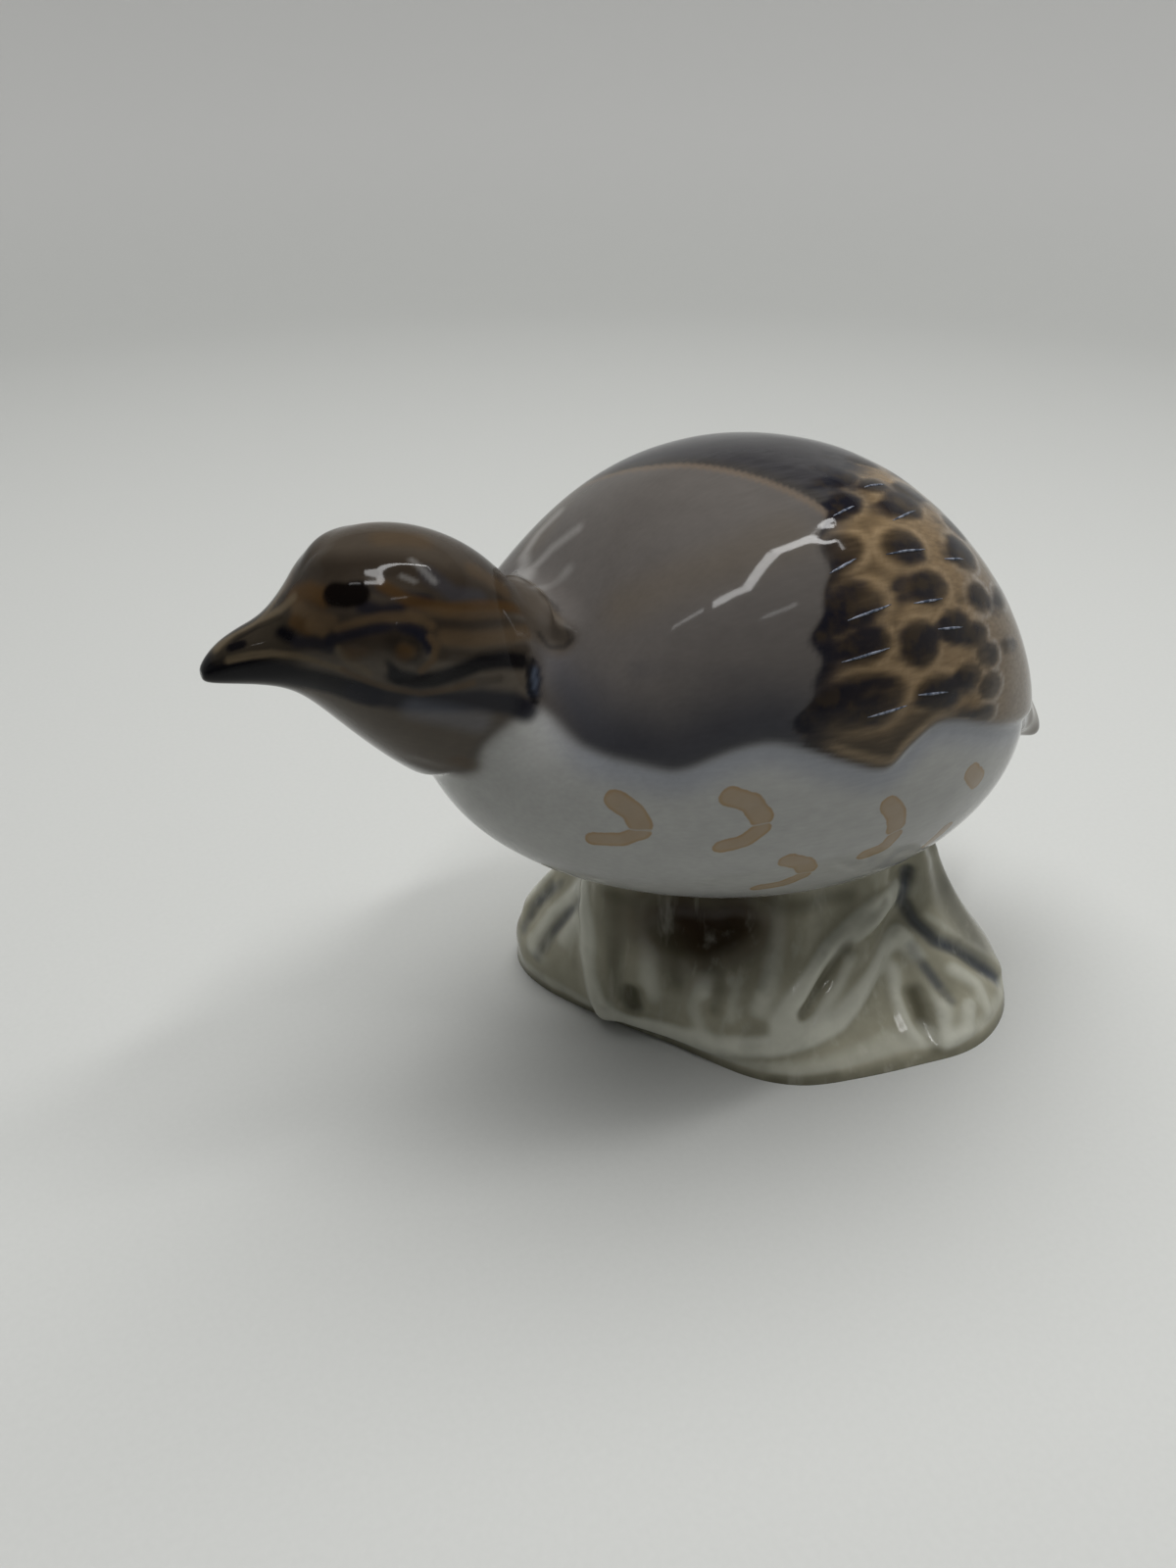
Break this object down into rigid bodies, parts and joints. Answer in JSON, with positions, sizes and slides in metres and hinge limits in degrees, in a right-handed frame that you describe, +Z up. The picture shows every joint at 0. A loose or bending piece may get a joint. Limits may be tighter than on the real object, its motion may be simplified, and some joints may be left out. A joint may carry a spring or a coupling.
{
  "type": "partridge figurine",
  "caption": "Hollow glazed porcelain figurine of a plump partridge crouching on a low folded mound with a flat foot.",
  "frame": {"origin": "middle of the figurine's footprint box, at the foot it stands on", "axes": "the bird looks along -X, its left side faces -Y, +Z is up"},
  "size_m": [0.1616, 0.0816, 0.1112],
  "materials": {
    "glazed_porcelain": "clear glossy glaze over underglaze painting"
  },
  "bodies": {
    "root": {"partridge_figurine": "glazed_porcelain"}
  },
  "joints": []
}
